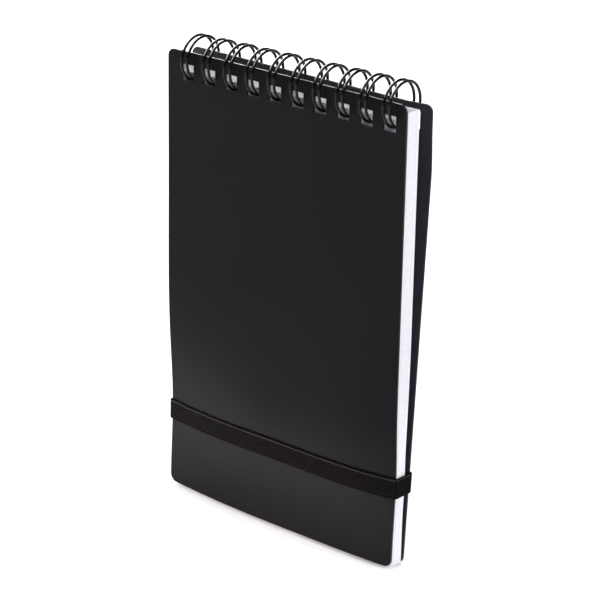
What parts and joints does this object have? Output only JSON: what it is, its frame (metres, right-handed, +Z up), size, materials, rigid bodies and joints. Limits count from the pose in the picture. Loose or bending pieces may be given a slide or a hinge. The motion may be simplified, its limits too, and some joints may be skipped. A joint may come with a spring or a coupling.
{
  "type": "pocket notebook",
  "caption": "Pocket notebook bound along its top edge with a twin-loop wire: two flexible covers, loose punched leaves and an elastic band that holds it shut.",
  "frame": {"origin": "On the surface that the notebook stands on, at the middle of its width and under the wire's axis.", "axes": "+Z up the standing notebook towards the binding, +X along its width, +Y from the front cover to the back cover."},
  "size_m": [0.0918, 0.0144, 0.146],
  "materials": {
    "cover": "soft-touch matte black polypropylene with a fine grain",
    "paper": "uncoated bright white writing paper",
    "wire": "steel wire with a glossy black nylon coat",
    "elastic": "black woven elastic, ribbed along its length",
    "rivet": "satin black"
  },
  "bodies": {
    "binding": {"wire_loop_01": "wire", "wire_loop_02": "wire", "wire_loop_03": "wire", "wire_loop_04": "wire", "wire_loop_05": "wire", "wire_loop_06": "wire", "wire_loop_07": "wire", "wire_loop_08": "wire", "wire_loop_09": "wire", "wire_loop_10": "wire", "leaf_21": "paper", "leaf_22": "paper", "leaf_23": "paper", "leaf_24": "paper", "leaf_25": "paper", "leaf_26": "paper", "leaf_27": "paper", "leaf_28": "paper", "leaf_29": "paper", "leaf_30": "paper", "leaf_31": "paper", "leaf_32": "paper", "leaf_33": "paper", "leaf_34": "paper", "leaf_35": "paper", "leaf_36": "paper", "leaf_37": "paper", "leaf_38": "paper", "leaf_39": "paper", "leaf_40": "paper"},
    "front_leaves": {"leaf_02": "paper", "leaf_03": "paper", "leaf_04": "paper", "leaf_05": "paper", "leaf_06": "paper", "leaf_07": "paper", "leaf_08": "paper", "leaf_09": "paper", "leaf_10": "paper", "leaf_11": "paper", "leaf_12": "paper", "leaf_13": "paper", "leaf_14": "paper", "leaf_15": "paper", "leaf_16": "paper", "leaf_17": "paper", "leaf_18": "paper", "leaf_19": "paper", "leaf_20": "paper"},
    "top_leaf": {"leaf_01": "paper"},
    "front_cover": {"front_cover": "cover"},
    "back_cover": {"back_cover": "cover", "band_rivet_left": "rivet", "band_rivet_right": "rivet"},
    "band": {"elastic_band": "elastic"}
  },
  "joints": [
    {"name": "front_leaves_turn", "type": "hinge", "parent": "binding", "child": "front_leaves", "pos_m": [0, 0, 0.13885], "axis": [-1, 0, 0], "range_deg": [0, 180]},
    {"name": "top_leaf_turn", "type": "hinge", "parent": "front_leaves", "child": "top_leaf", "pos_m": [0, 0, 0.13885], "axis": [-1, 0, 0], "range_deg": [0, 180]},
    {"name": "front_cover_turn", "type": "hinge", "parent": "top_leaf", "child": "front_cover", "pos_m": [0, 0, 0.13885], "axis": [-1, 0, 0], "range_deg": [0, 180]},
    {"name": "back_cover_turn", "type": "hinge", "parent": "binding", "child": "back_cover", "pos_m": [0, 0, 0.13885], "axis": [-1, 0, 0], "range_deg": [-120, 0]},
    {"name": "band_release", "type": "hinge", "parent": "back_cover", "child": "band", "pos_m": [0, 0.0028, 0.0262], "axis": [1, 0, 0], "range_deg": [0, 180], "deforming": ["elastic_band"]}
  ]
}
